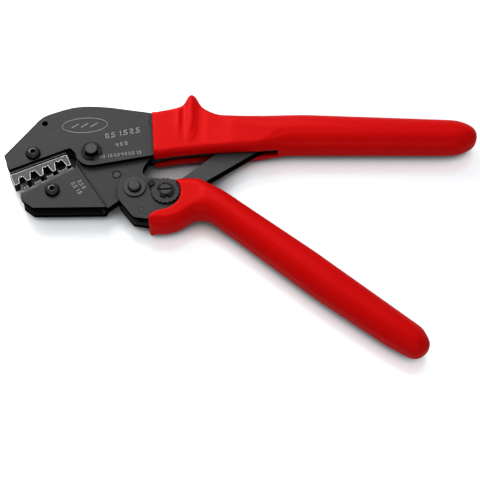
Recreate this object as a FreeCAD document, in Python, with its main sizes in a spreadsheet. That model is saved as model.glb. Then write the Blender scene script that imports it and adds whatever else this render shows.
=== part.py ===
import FreeCAD, Part
import math
import os
import Sketcher

# Lever crimping pliers with exchangeable dies.
# Frame: origin on the main pivot axis at mid-thickness, +X towards the handle ends,
# +Y towards the fixed handle, +Z out of the front face. Millimetres and degrees.
# The steel is laid up in layers: a core layer between an outer plate in front and one behind.

DIMENSIONS = {
    "plate_thickness": 2.5,
    "core_half": 2.5,
    "layer_gap": 0.1,
    "outer_start": 2.6,
    "outer_face": 5.1,
    "running_gap": 0.05,
    "handle_pivot_x": 23.4,
    "handle_pivot_y": -22.0,
    "adjuster_x": 39.6,
    "adjuster_y": -24.6,
    "strut_pivot_x": 88.0,
    "strut_pivot_y": 8.5,
    "pawl_pin_x": 27.3,
    "pawl_pin_y": -35.4,
    "frame_boss_radius": 8.5,
    "jaw_boss_radius": 8.4,
    "main_pin_radius": 3.3,
    "main_pin_head_radius": 4.6,
    "main_pin_rear": -7.2,
    "main_pin_front": 8.4,
    "handle_pin_radius": 3.4,
    "handle_pin_half": 7.5,
    "adjuster_pin_radius": 3.15,
    "adjuster_pin_rear": -7.0,
    "adjuster_pin_front": 7.6,
    "eccentric_radius": 2.75,
    "eccentric_throw": 0.3,
    "strut_pin_radius": 3.0,
    "strut_eye_clearance": 0.8,
    "rivet_radius": 1.8,
    "spacer_radius": 3.4,
    "pawl_pin_radius": 1.45,
    "pawl_thickness": 3.6,
    "strut_lobe_radius": 7.4,
    "ratchet_root_radius": 6.5,
    "lock_screw_radius": 0.9,
    "hook_pin_radius": 0.7,
    "locator_radius": 1.6,
    "locator_x": -25.7,
    "locator_y": 17.4,
    "screw_radius": 2.0,
    "screw_head_radius": 3.8,
    "screw_head_depth": 2.5,
    "socket_across_flats": 2.5,
    "clip_thickness": 0.7,
    "clip_groove_radius": 2.7,
    "main_clip_radius": 5.4,
    "wheel_clip_radius": 4.4,
    "washer_radius": 5.8,
    "washer_thickness": 0.8,
    "wheel_radius": 7.5,
    "wheel_notch_radius": 0.55,
    "wheel_thickness": 1.2,
    "wheel_notches": 20,
    "crimp_line_angle": 23.8,
    "jaw_open_angle": 6.5,
    "upper_seat": 6.7,
    "lower_seat": -5.1,
    "die_half": 3.35,
    "die_screw_along": -28.65,
    "die_screw_across": 11.05,
    "grip_half": 9.5,
    "grip_edge_radius": 1.8,
    "spring_wire_radius": 0.35,
    "spring_coil_radius": 1.9,
    "spring_pitch": 0.95,
    "spring_turns": 13,
    "pawl_wire_radius": 0.25,
}

doc = FreeCAD.newDocument("CrimpingPliers")
sheet = doc.addObject("Spreadsheet::Sheet", "Dimensions")
for row, (alias, value) in enumerate(DIMENSIONS.items(), start=1):
    sheet.set(f"A{row}", alias)
    sheet.set(f"B{row}", str(value))
    sheet.setAlias(f"B{row}", alias)
doc.recompute()

SUB_PARTS = []
PIVOTS = {
    "main": ("0", "0"),
    "handle": ("handle_pivot_x", "handle_pivot_y"),
    "adjuster": ("adjuster_x", "adjuster_y"),
    "strut": ("strut_pivot_x", "strut_pivot_y"),
    "pawl": ("pawl_pin_x", "pawl_pin_y"),
}
FRAME_RIVETS = [(31.6, 18.9), (118.0, 13.0), (158.0, 12.0)]
SPRING_POST = (61.0, 16.8)
HOOK_PIN = (84.5, 13.0)
HOOK_LOOP = (85.2, 13.6)
JAW_RIVET = (13.6, -12.9)
LOCK_SCREW = (32.1, -20.3)
TOOTH_COUNT = 5
TOOTH_PITCH = 6.6
FIRST_TOOTH = 224.0
HANDLE_RIVETS = [(78.0, -41.5), (126.0, -80.5)]


# ---------------------------------------------------------------- helpers

def size(alias):
    return float(sheet.get(alias))


def bound(text):
    """An expression in which every dimension name points at the sheet."""
    words = text.replace("(", " ( ").replace(")", " ) ").split()
    return " ".join("Dimensions." + word if word in DIMENSIONS else word for word in words)


def keep(item, label):
    item.Label = label
    SUB_PARTS.append(item)
    return item


def new_body(label):
    return keep(doc.addObject("PartDesign::Body", label), label)


def origin_plane(body, role):
    return [plane for plane in body.Origin.OriginFeatures if plane.Role == role][0]


def new_sketch(body, name, role="XY_Plane", base=(0, 0, 0), turn=0.0, about=(0, 1, 0)):
    sketch = body.newObject("Sketcher::SketchObject", name)
    sketch.AttachmentSupport = [(origin_plane(body, role), "")]
    sketch.MapMode = "FlatFace"
    sketch.AttachmentOffset = FreeCAD.Placement(
        FreeCAD.Vector(*base), FreeCAD.Rotation(FreeCAD.Vector(*about), turn)
    )
    return sketch


def vector(point):
    return FreeCAD.Vector(point[0], point[1], 0)


def rounded_corner(before, corner, after, radius):
    """Start, middle and end of the arc that rounds a corner."""
    centre = vector(corner)
    first = (vector(before) - centre).normalize()
    second = (vector(after) - centre).normalize()
    half = math.acos(max(-1.0, min(1.0, first.dot(second)))) / 2
    reach = radius / math.tan(half)
    middle = centre + (first + second).normalize() * (radius / math.sin(half) - radius)
    return centre + first * reach, middle, centre + second * reach


def outline(sketch, points):
    """A closed outline. (x, y) is a corner, (x, y, radius) a rounded corner, and
    ("via", x, y) makes the stretch between its two neighbours an arc through it."""
    corners = [p for p in points if p[0] != "via"]
    arcs = []
    geometry = []
    for i, p in enumerate(corners):
        if len(p) == 3:
            arcs.append(rounded_corner(corners[i - 1], p, corners[(i + 1) % len(corners)], p[2]))
        else:
            arcs.append((vector(p), None, vector(p)))
    index = 0
    for position, p in enumerate(points):
        if p[0] == "via":
            continue
        start, middle, end = arcs[index]
        if middle is not None:
            geometry.append(Part.Arc(start, middle, end))
        follower = points[(position + 1) % len(points)]
        target = arcs[(index + 1) % len(arcs)][0]
        if follower[0] == "via":
            geometry.append(Part.Arc(end, FreeCAD.Vector(follower[1], follower[2], 0), target))
        elif (target - end).Length > 1e-6:
            geometry.append(Part.LineSegment(end, target))
        index += 1
    sketch.addGeometry(geometry, False)


def circle(sketch, x, y, radius):
    """A circle whose centre and radius are bound to the sheet by expressions."""
    item = sketch.addGeometry(
        Part.Circle(FreeCAD.Vector(1, 1, 0), FreeCAD.Vector(0, 0, 1), 1), False
    )
    for kind, text in (("DistanceX", x), ("DistanceY", y)):
        number = sketch.addConstraint(Sketcher.Constraint(kind, -1, 1, item, 3, 1.0))
        sketch.setExpression(f"Constraints[{number}]", bound(text))
    number = sketch.addConstraint(Sketcher.Constraint("Radius", item, 1.0))
    sketch.setExpression(f"Constraints[{number}]", bound(radius))


def pad(body, sketch, length, midplane=False):
    feature = body.newObject("PartDesign::Pad", "Pad")
    feature.Profile = sketch
    feature.setExpression("Length", bound(length))
    if midplane:
        feature.SideType = "Symmetric"
    return feature


def pocket(body, sketch, midplane=True, length=None, reverse=False):
    """Cuts the sketch out of the body and checks that something was removed."""
    doc.recompute()
    before = body.Shape.Volume
    feature = body.newObject("PartDesign::Pocket", "Pocket")
    feature.Profile = sketch
    if length is None:
        feature.Type = "ThroughAll"
    else:
        feature.setExpression("Length", bound(length))
    if midplane:
        feature.SideType = "Symmetric"
    feature.Reversed = reverse
    doc.recompute()
    if body.Shape.Volume >= before - 1e-6:
        raise RuntimeError(f"a pocket in {body.Label} removed nothing")
    return feature


def revolve(body, sketch):
    """Turns a profile about the body's Z axis."""
    feature = body.newObject("PartDesign::Revolution", "Revolution")
    feature.Profile = sketch
    axis = [line for line in body.Origin.OriginFeatures if line.Role == "Z_Axis"][0]
    feature.ReferenceAxis = (axis, [""])
    feature.Angle = 360
    return feature


def place(item, x="0", y="0", z="0"):
    item.setExpression("Placement.Base.x", bound(x))
    item.setExpression("Placement.Base.y", bound(y))
    item.setExpression("Placement.Base.z", bound(z))


def cylinder(name, radius, height, x="0", y="0", z="0"):
    item = doc.addObject("Part::Cylinder", name)
    item.setExpression("Radius", bound(radius))
    item.setExpression("Height", bound(height))
    place(item, x, y, z)
    return item


def fused(name, pieces):
    item = doc.addObject("Part::MultiFuse", name)
    item.Shapes = pieces
    item.Refine = True
    return item


def cut(name, base, tool):
    item = doc.addObject("Part::Cut", name)
    item.Base = base
    item.Tool = tool
    return item


def grouped(label, pieces):
    """Several separate solids that share one node."""
    item = doc.addObject("Part::Compound", label)
    item.Links = pieces
    return keep(item, label)


def die_point(along, across, angle):
    """A point given along and across the crimp line, turned about the main pivot."""
    turn = math.radians(angle)
    x = along * math.cos(turn) - across * math.sin(turn)
    y = along * math.sin(turn) + across * math.cos(turn)
    return x, y


def around(pivot, radius, angle):
    """A point on a circle about one of the pivots."""
    x, y = (float(text) if text not in DIMENSIONS else size(text) for text in PIVOTS[pivot])
    turn = math.radians(angle)
    return x + radius * math.cos(turn), y + radius * math.sin(turn)


UPPER_ANGLE = size("crimp_line_angle")
LOWER_ANGLE = UPPER_ANGLE + size("jaw_open_angle")
UPPER_SCREW = die_point(size("die_screw_along"), size("die_screw_across"), UPPER_ANGLE)
LOWER_SCREW = die_point(size("die_screw_along"), -size("die_screw_across"), LOWER_ANGLE)


# ---------------------------------------------------------------- frame

def frame_outline():
    """Nose, die seat, boss round the main pivot, then the long tang inside the grip."""
    boss = size("frame_boss_radius")
    seat = size("upper_seat")
    return [
        die_point(-43.6, seat, UPPER_ANGLE),
        (*die_point(-9.55, seat, UPPER_ANGLE), 1.6),
        around("main", boss, 188),
        ("via", *around("main", boss, 235)),
        around("main", boss, 281.3),
        (33.5, -2.0),
        (46.0, 0.9),
        (98.0, 5.0),
        (108.0, 6.0),
        (168.0, 5.5, 5.0),
        (168.0, 18.0, 5.0),
        (120.0, 20.5),
        (60.0, 21.5),
        (31.5, 24.2, 30.0),
        (8.0, 27.9, 30.0),
        (-9.0, 29.0, 40.0),
        (-27.0, 22.0, 14.0),
        (-45.9, -2.8, 0.6),
    ]


def frame_plate(label, z):
    body = new_body(label)
    sketch = new_sketch(body, "Outline")
    outline(sketch, frame_outline())
    circle(sketch, "0", "0", "main_pin_radius + running_gap")
    circle(sketch, "locator_x", "locator_y", "locator_radius")
    circle(sketch, *PIVOTS["strut"], "strut_pin_radius")
    circle(sketch, str(UPPER_SCREW[0]), str(UPPER_SCREW[1]), "screw_radius + running_gap")
    for x, y in FRAME_RIVETS + [SPRING_POST]:
        circle(sketch, str(x), str(y), "rivet_radius")
    pad(body, sketch, "plate_thickness")
    place(body, z=z)


def rivets(label, places):
    grouped(label, [
        cylinder("Rivet", "rivet_radius", "2 * outer_face", str(x), str(y), "-1 * outer_face")
        for x, y in places
    ])


def spacer(x, y, bore):
    """A tube that fills the core layer between two outer plates."""
    tube = cylinder("Ring", "spacer_radius", "2 * outer_start", x, y, "-1 * outer_start")
    hole = cylinder("Bore", bore, "2 * outer_start", x, y, "-1 * outer_start")
    return cut("Spacer", tube, hole)


def spacers(label, places):
    grouped(label, [spacer(str(x), str(y), "rivet_radius") for x, y in places])


def plain_pin(label, x, y, radius, half):
    item = cylinder(label, radius, f"2 * {half}", x, y, f"-1 * {half}")
    keep(item, label)


def turned_pin(label, pivot, profile):
    """A pin turned from a half profile of (radius, height) points."""
    body = new_body(label)
    outline(new_sketch(body, "Profile", "XZ_Plane"), profile)
    revolve(body, body.Group[-1])
    place(body, *PIVOTS[pivot])
    return body


def main_pivot_pin():
    """Headed behind, grooved in front for its clip."""
    radius = size("main_pin_radius")
    head = size("main_pin_head_radius")
    rear = size("main_pin_rear")
    front = size("main_pin_front")
    face = size("outer_face")
    groove = size("clip_groove_radius")
    groove_start = face + size("running_gap")
    groove_end = groove_start + size("clip_thickness") + size("layer_gap")
    turned_pin("main_pivot_pin", "main", [
        (0, rear), (head, rear, 0.6), (head, -face), (radius, -face),
        (radius, groove_start), (groove, groove_start), (groove, groove_end), (radius, groove_end),
        (radius, front - 0.3), (radius - 0.3, front), (0, front),
    ])


def retaining_clip(name, pivot, rim, mouth_angle, z):
    """A flat E-shaped clip: an open ring with two scallops beside its mouth."""
    x, y = PIVOTS[pivot]
    groove = size("clip_groove_radius")
    plate = cylinder("ClipBlank", rim, "clip_thickness", x, y, z)
    tools = [cylinder("ClipBore", "clip_groove_radius", "clip_thickness", x, y, z)]
    for side in (-1, 1):
        scallop_x, scallop_y = around(pivot, groove + 0.55, mouth_angle + side * 78)
        tools.append(cylinder("Scallop", "1.25", "clip_thickness", str(scallop_x), str(scallop_y), z))
    mouth = doc.addObject("Part::Box", "Mouth")
    mouth.setExpression("Length", bound(f"{rim} + 1"))
    mouth.setExpression("Width", bound("1.5 * clip_groove_radius"))
    mouth.setExpression("Height", bound("clip_thickness"))
    corner_x, corner_y = around(pivot, 0.75 * groove, mouth_angle - 90)
    mouth.Placement = FreeCAD.Placement(
        FreeCAD.Vector(corner_x, corner_y, 0), FreeCAD.Rotation(FreeCAD.Vector(0, 0, 1), mouth_angle)
    )
    mouth.setExpression("Placement.Base.z", bound(z))
    tools.append(mouth)
    return cut(name, plate, fused("ClipCuts", tools))


def handle_pivot_washers():
    """One plain washer on each outer face."""
    x, y = PIVOTS["handle"]
    rings = []
    for z in ("outer_face", "-1 * outer_face - washer_thickness"):
        disc = cylinder("Disc", "washer_radius", "washer_thickness", x, y, z)
        hole = cylinder("Hole", "handle_pin_radius", "washer_thickness", x, y, z)
        rings.append(cut("Washer", disc, hole))
    grouped("handle_pivot_washers", rings)


def die_screw(label, centre):
    """Button head with a hexagon socket; the shank is threaded into the rear plate."""
    body = new_body(label)
    head = size("screw_head_radius")
    rise = size("screw_head_depth")
    shank = size("screw_radius")
    face = size("outer_face")
    profile = new_sketch(body, "Profile", "XZ_Plane")
    outline(profile, [
        (0, -face), (shank - 0.3, -face), (shank, -face + 0.3), (shank, face), (head, face),
        (head, face + 0.7), ("via", head * 0.8, face + rise * 0.72), (head * 0.42, face + rise),
        (0, face + rise),
    ])
    revolve(body, profile)
    socket = new_sketch(body, "Socket", base=(0, 0, face + rise))
    corner = size("socket_across_flats") / math.sqrt(3)
    outline(socket, [
        (corner * math.cos(math.radians(60 * i)), corner * math.sin(math.radians(60 * i)))
        for i in range(6)
    ])
    pocket(body, socket, midplane=False, length="0.7 * screw_head_depth")
    place(body, str(centre[0]), str(centre[1]))


# Each nest: its place along the crimp line, half width at the mouth and under the ceiling,
# and the height of the ceiling. Heights are measured from the crimp line.
NESTS = [
    (-39.3, 2.1, 1.3, 1.2),
    (-32.5, 2.6, 1.5, 2.2),
    (-25.5, 2.6, 1.6, 2.1),
    (-18.0, 3.2, 2.3, 2.6),
]
TOOTH_TIP = -2.3
ANVIL_FOOT = -2.7
ANVIL_TOP = -0.4
ANVIL_GAP = 0.3


def nest_outline(centre, mouth, ceiling, top):
    """One crimp nest: drafted flanks under two arcs that meet in a central ridge."""
    shoulder = top - 0.6 * ceiling
    return [
        (centre - mouth, TOOTH_TIP),
        (centre - ceiling, shoulder),
        ("via", centre - 0.55 * ceiling, top),
        (centre, top - 0.45 * ceiling),
        ("via", centre + 0.55 * ceiling, top),
        (centre + ceiling, shoulder),
        (centre + mouth, TOOTH_TIP),
    ]


def anvil_outline(centre, mouth, ceiling, top):
    """One anvil, its end hollowed to hold the back of a terminal."""
    shoulder = top - 0.6 * ceiling
    share = min((ANVIL_TOP - TOOTH_TIP) / (shoulder - TOOTH_TIP), 1.0)
    half = mouth + (ceiling - mouth) * share - ANVIL_GAP
    return [
        (centre + half, ANVIL_FOOT),
        (centre + half, ANVIL_TOP),
        ("via", centre, ANVIL_TOP - 0.45 * half),
        (centre - half, ANVIL_TOP),
        (centre - half, ANVIL_FOOT),
    ]


def die_body(label, angle):
    body = new_body(label)
    body.Placement = FreeCAD.Placement(
        FreeCAD.Vector(0, 0, 0), FreeCAD.Rotation(FreeCAD.Vector(0, 0, 1), 1)
    )
    body.setExpression("Placement.Rotation.Angle", bound(angle))
    return body


def die_tongue(body, seat, side):
    """The flat tongue that the die screw holds between the plates."""
    tongue = new_sketch(body, "Tongue")
    outline(tongue, [
        (-41.0, seat - side * 0.5), (-41.0, seat), (-37.0, side * 15.5, 1.5), (-17.5, side * 15.5, 1.5),
        (-15.0, seat), (-15.0, seat - side * 0.5),
    ])
    circle(tongue, "die_screw_along", f"{side} * die_screw_across", "screw_radius + running_gap")
    pad(body, tongue, "2 * core_half", midplane=True)


def upper_die():
    body = die_body("upper_die", "crimp_line_angle")
    seat = size("upper_seat")
    points = [(-44.0, seat), (-44.0, TOOTH_TIP, 0.4)]
    for nest in NESTS:
        points += nest_outline(*nest)
    points += [(-12.65, TOOTH_TIP, 0.4), (-12.65, seat)]
    block = new_sketch(body, "Block")
    outline(block, points)
    pad(body, block, "2 * die_half", midplane=True)
    die_tongue(body, seat, 1)
    for side in (-1, 1):
        groove = new_sketch(body, "Groove", base=(0, 0, side * (size("die_half") - 0.7)))
        outline(groove, [(-50, seat - 2.2), (-50, seat - 1.1), (0, seat - 1.1), (0, seat - 2.2)])
        pocket(body, groove, midplane=False, length="1", reverse=side > 0)


def lower_die():
    body = die_body("lower_die", "crimp_line_angle + jaw_open_angle")
    seat = size("lower_seat")
    points = [(-44.0, seat), (-12.65, seat), (-12.65, ANVIL_FOOT, 0.4)]
    for nest in reversed(NESTS):
        points += anvil_outline(*nest)
    points += [(-44.0, ANVIL_FOOT, 0.4)]
    block = new_sketch(body, "Block")
    outline(block, points)
    pad(body, block, "2 * die_half", midplane=True)
    die_tongue(body, seat, -1)


def wire_coil(wire, coil, pitch, turns):
    """A helix of round wire about Z, starting on the XY plane at +X."""
    helix = Part.makeHelix(pitch, pitch * turns, coil)
    ring = Part.Wire([Part.makeCircle(wire, FreeCAD.Vector(coil, 0, 0), FreeCAD.Vector(0, 1, 0))])
    return Part.Wire(helix.Edges).makePipeShell([ring], True, True)


def opening_spring():
    """Extension spring between the spring post and the hook pin on the strut."""
    wire = size("spring_wire_radius")
    coil = size("spring_coil_radius")
    pitch = size("spring_pitch")
    turns = size("spring_turns")
    post = FreeCAD.Vector(*SPRING_POST, 0)
    hook = FreeCAD.Vector(*HOOK_LOOP, 0)
    along = (hook - post).normalize()
    turn = FreeCAD.Rotation(FreeCAD.Vector(0, 0, 1), along)
    post_loop = size("rivet_radius") + 0.1 + wire
    hook_loop = 2.2
    first = post + along * (post_loop + 0.8)
    last = first + along * (pitch * turns)
    shape = wire_coil(wire, coil, pitch, turns)
    shape.Placement = FreeCAD.Placement(first, turn)
    pieces = [Part.makeTorus(post_loop, wire, post), Part.makeTorus(hook_loop, wire, hook)]
    outward = turn.multVec(FreeCAD.Vector(1, 0, 0))
    for end, loop in ((first, post + along * post_loop), (last, hook - along * hook_loop)):
        pieces.append(Part.makeCylinder(wire, (end - loop).Length, loop, end - loop))
        pieces.append(Part.makeSphere(wire, end))
        pieces.append(Part.makeCylinder(wire, coil, end, outward))
    spring = doc.addObject("Part::Feature", "opening_spring")
    spring.Shape = shape.fuse(pieces)
    keep(spring, "opening_spring")


# ---------------------------------------------------------------- jaw

CREASE = (-5.3, -11.9)
CREASE_NORMAL = 32.8


def jaw_outline():
    """Die region on the left, then the core-layer arm that carries both pivots."""
    seat = size("lower_seat")
    boss = size("jaw_boss_radius")
    return [
        die_point(-43.4, seat, LOWER_ANGLE),
        (-34.2, -30.2, 1.0),
        (-28.8, -34.4, 1.5),
        (8.8, -33.9, 3.0),
        (14.6, -29.2, 2.0),
        around("handle", boss, 218),
        ("via", *around("handle", boss, 317)),
        around("handle", boss, 55),
        (26.6, -9.5, 6.0),
        (32.0, -1.0, 3.0),
        (27.0, 5.0, 4.0),
        (12.0, 7.0, 6.0),
        around("main", boss, 60),
        ("via", *around("main", boss, 130)),
        around("main", boss, 195),
        die_point(-12.0, seat, LOWER_ANGLE),
    ]


def jaw_plate(label, side):
    """A joggled plate: outer layer round the die, core layer round the pivots."""
    body = new_body(label)
    sketch = new_sketch(body, "Outline")
    outline(sketch, jaw_outline())
    circle(sketch, "0", "0", "main_pin_radius + running_gap")
    circle(sketch, *PIVOTS["handle"], "handle_pin_radius + running_gap")
    circle(sketch, str(JAW_RIVET[0]), str(JAW_RIVET[1]), "rivet_radius")
    circle(sketch, str(LOWER_SCREW[0]), str(LOWER_SCREW[1]), "screw_radius + running_gap")
    plate = pad(body, sketch, "outer_face - running_gap")
    plate.Reversed = side < 0
    core = size("plate_thickness")
    full = size("outer_face") - size("running_gap")
    steps = [
        [(0, full), (1.2, core), (70, core), (70, full + 1), (0, full + 1)],
        [(-1.3, full - core), (-0.1, 0), (-0.1, -1), (-50, -1), (-50, full - core)],
    ]
    for points in steps:
        step = new_sketch(body, "Joggle", "XZ_Plane", (CREASE[0], 0, -CREASE[1]), CREASE_NORMAL)
        outline(step, [(s, side * z) for s, z in points])
        pocket(body, step)
    sunk = new_sketch(body, "RivetRim", base=(0, 0, side * core))
    circle(sunk, str(JAW_RIVET[0]), str(JAW_RIVET[1]), "rivet_radius + 0.7")
    pocket(body, sunk, midplane=False, length="0.35", reverse=side < 0)
    place(body, z=f"{side} * running_gap")


# ---------------------------------------------------------------- handle

def handle_outline():
    """Lobe round the jaw pivot, then the long tang inside the grip."""
    return [
        around("handle", 8.8, 41),
        ("via", *around("handle", 8.8, 110)),
        around("handle", 8.8, 188),
        (15.0, -28.8, 6.0),
        (23.3, -39.8, 2.0),
        (31.5, -41.0),
        (44.0, -40.0, 4.0),
        (58.0, -33.0, 8.0),
        (70.0, -40.0, 10.0),
        (133.0, -91.5, 4.0),
        (139.0, -84.5, 4.0),
        (72.0, -29.5, 8.0),
        (55.5, -18.5, 4.0),
        (44.5, -17.4),
        (31.5, -16.2, 2.0),
    ]


def handle_plate(label, z):
    body = new_body(label)
    sketch = new_sketch(body, "Outline")
    outline(sketch, handle_outline())
    circle(sketch, *PIVOTS["handle"], "handle_pin_radius")
    circle(sketch, *PIVOTS["adjuster"], "adjuster_pin_radius + running_gap")
    circle(sketch, *PIVOTS["pawl"], "pawl_pin_radius")
    if label.endswith("front"):
        circle(sketch, str(LOCK_SCREW[0]), str(LOCK_SCREW[1]), "lock_screw_radius")
    for x, y in HANDLE_RIVETS:
        circle(sketch, str(x), str(y), "rivet_radius")
    pad(body, sketch, "plate_thickness")
    place(body, z=z)


def handle_pivot_pin():
    """A plain pin with softly rounded ends."""
    radius = size("handle_pin_radius")
    half = size("handle_pin_half")
    turned_pin("handle_pivot_pin", "handle", [
        (0, -half), (radius - 1.4, -half), ("via", radius - 0.5, 0.25 - half), (radius, 0.9 - half),
        (radius, half - 0.9), ("via", radius - 0.5, half - 0.25), (radius - 1.4, half), (0, half),
    ])


def lock_screw():
    """Small slotted screw whose head overhangs the rim of the adjusting wheel."""
    body = new_body("lock_screw")
    shank = size("lock_screw_radius")
    head = size("outer_face") + 1.35
    profile = new_sketch(body, "Profile", "XZ_Plane")
    outline(profile, [
        (0, 2.7), (shank, 2.7), (shank, head), (1.75, head), (1.75, head + 0.6), (1.45, head + 0.9),
        (0, head + 0.9),
    ])
    revolve(body, profile)
    slot = new_sketch(body, "Slot", base=(0, 0, head + 0.9), turn=35, about=(0, 0, 1))
    outline(slot, [(-3, -0.25), (3, -0.25), (3, 0.25), (-3, 0.25)])
    pocket(body, slot, midplane=False, length="0.45")
    place(body, str(LOCK_SCREW[0]), str(LOCK_SCREW[1]))


# ---------------------------------------------------------------- toggle and adjuster

def toggle_strut():
    """Link from the adjuster to the frame, with the ratchet teeth on its front lobe."""
    lobe = size("strut_lobe_radius")
    root = size("ratchet_root_radius")
    body = new_body("toggle_strut")
    points = [
        (60.7, -16.7),
        (95.0, 6.5, 5.0),
        (95.0, 14.8, 5.5),
        (86.0, 17.6, 5.0),
        (48.1, -15.0),
        around("adjuster", lobe, 62),
        ("via", *around("adjuster", lobe, 140)),
        around("adjuster", lobe, FIRST_TOOTH),
    ]
    for number in range(TOOTH_COUNT):
        start = FIRST_TOOTH + number * TOOTH_PITCH
        points.append(around("adjuster", root, start + 1.0))
        points.append(around("adjuster", root, start + TOOTH_PITCH * 0.45))
        points.append(around("adjuster", lobe, start + TOOTH_PITCH))
    points += [("via", *around("adjuster", lobe, 300)), around("adjuster", lobe, 350)]
    sketch = new_sketch(body, "Outline")
    outline(sketch, points)
    circle(sketch, *PIVOTS["adjuster"], "eccentric_radius + eccentric_throw + running_gap")
    circle(sketch, *PIVOTS["strut"], "strut_pin_radius + strut_eye_clearance")
    circle(sketch, str(HOOK_PIN[0]), str(HOOK_PIN[1]), "hook_pin_radius")
    pad(body, sketch, "2 * core_half", midplane=True)
    notch = new_sketch(body, "SpringNotch")
    circle(notch, str(HOOK_PIN[0]), str(HOOK_PIN[1] + 0.6), "4.6")
    pocket(body, notch, length="1.5")


def adjusting_pin():
    """Two coaxial journals with an eccentric between them and a slotted front end."""
    radius = size("adjuster_pin_radius")
    throw = size("eccentric_throw")
    waist = size("eccentric_radius") - throw - 0.3
    core = size("core_half") + size("layer_gap") / 2
    groove = size("clip_groove_radius")
    rear_end = size("adjuster_pin_rear")
    front_end = size("adjuster_pin_front")
    rear = size("outer_face") + size("running_gap")
    front = rear + size("wheel_thickness") + size("layer_gap") / 2
    clip = size("clip_thickness") + size("layer_gap")
    body = turned_pin("adjusting_pin", "adjuster", [
        (0, rear_end), (radius - 0.3, rear_end), (radius, rear_end + 0.3), (radius, -rear - clip),
        (groove, -rear - clip), (groove, -rear), (radius, -rear), (radius, -core), (waist, -core),
        (waist, core), (radius, core), (radius, front), (groove, front), (groove, front + clip),
        (radius, front + clip), (radius, front_end - 0.3), (radius - 0.3, front_end), (0, front_end),
    ])
    eccentric = new_sketch(body, "Eccentric")
    circle(eccentric, "eccentric_throw", "0", "eccentric_radius")
    pad(body, eccentric, "2 * core_half", midplane=True)
    slot = new_sketch(body, "Slot", base=(0, 0, front_end), turn=5, about=(0, 0, 1))
    outline(slot, [(-5, -0.5), (5, -0.5), (5, 0.5), (-5, 0.5)])
    pocket(body, slot, midplane=False, length="0.8")


def adjusting_wheel():
    """A disc with locking notches all round its rim."""
    body = new_body("adjusting_wheel")
    sketch = new_sketch(body, "Disc")
    circle(sketch, "0", "0", "wheel_radius")
    circle(sketch, "0", "0", "adjuster_pin_radius")
    pad(body, sketch, "wheel_thickness")
    notch = new_sketch(body, "Notch")
    circle(notch, "wheel_radius + 0.1", "0", "wheel_notch_radius")
    first = pocket(body, notch)
    pattern = body.newObject("PartDesign::PolarPattern", "Notches")
    pattern.Originals = [first]
    axis = [line for line in body.Origin.OriginFeatures if line.Role == "Z_Axis"][0]
    pattern.Axis = (axis, [""])
    pattern.Angle = 360
    pattern.setExpression("Occurrences", bound("wheel_notches"))
    body.Tip = pattern
    place(body, *PIVOTS["adjuster"], "outer_face + layer_gap / 2")


def adjuster_clips():
    """One clip outside the wheel and one behind the rear plate."""
    levels = {
        "WheelClip": "outer_face + wheel_thickness + layer_gap + running_gap",
        "RearClip": "-1 * outer_face - clip_thickness - layer_gap",
    }
    grouped("adjuster_clips", [
        retaining_clip(name, "adjuster", "wheel_clip_radius", 200, z) for name, z in levels.items()
    ])


def pawl():
    """Self-releasing pawl: a hub and a straight nose that points at the toggle."""
    pin_x, pin_y = around("pawl", 0, 0)
    centre_x, centre_y = around("adjuster", 0, 0)
    heading = math.degrees(math.atan2(centre_y - pin_y, centre_x - pin_x))
    reach = math.hypot(centre_x - pin_x, centre_y - pin_y)
    tip = reach - size("strut_lobe_radius") - 0.2
    hub = 2.9
    body = new_body("pawl")
    sketch = new_sketch(body, "Outline", turn=heading, about=(0, 0, 1))
    outline(sketch, [
        (1.5, -2.5), (tip - 1.2, -1.3), (tip, 0), (tip - 1.2, 1.3), (1.5, 2.5), ("via", -hub, 0),
    ])
    circle(sketch, "0", "0", "pawl_pin_radius + running_gap")
    pad(body, sketch, "pawl_thickness")
    place(body, *PIVOTS["pawl"], "-1 * core_half + layer_gap")


def pawl_spring():
    """Torsion spring round the pawl pin, one leg along the pawl and one on the tang."""
    wire = size("pawl_wire_radius")
    pitch = 2.2 * wire
    coil = size("pawl_pin_radius") + 0.2 + wire
    level = size("pawl_thickness") - size("core_half") + size("layer_gap") + size("running_gap") + wire
    centre = FreeCAD.Vector(*around("pawl", 0, 0), level)
    shape = wire_coil(wire, coil, pitch, 1)
    foot = FreeCAD.Vector(coil, 0, 0)
    lower = Part.makeCylinder(wire, 5.5, foot, FreeCAD.Vector(0.35, 1, 0))
    upper = Part.makeCylinder(wire, 6.0, foot + FreeCAD.Vector(0, 0, pitch), FreeCAD.Vector(0.6, -0.8, 0))
    spring = doc.addObject("Part::Feature", "pawl_spring")
    spring.Shape = shape.fuse([lower, upper])
    spring.Placement.Base = centre
    keep(spring, "pawl_spring")


# ---------------------------------------------------------------- grips

def upper_grip_outline():
    """Widest at mid-thickness: collar, thumb guard, then the hand region with a long round end."""
    return [
        (30.5, 24.4),
        (46.9, 28.1, 4.0),
        (51.9, 41.4, 3.3),
        (58.6, 27.2, 8.0),
        (66.5, 23.3, 10.0),
        (112.0, 24.5, 60.0),
        (195.6, 21.0, 20.0),
        (204.8, 15.6, 6.5),
        (204.8, 7.8, 6.5),
        (195.6, 2.2, 18.0),
        (104.0, 2.2, 20.0),
        (84.0, 0.6, 40.0),
        (57.0, -0.8),
        (44.0, -2.4),
        (32.5, -4.4, 1.0),
    ]


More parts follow.
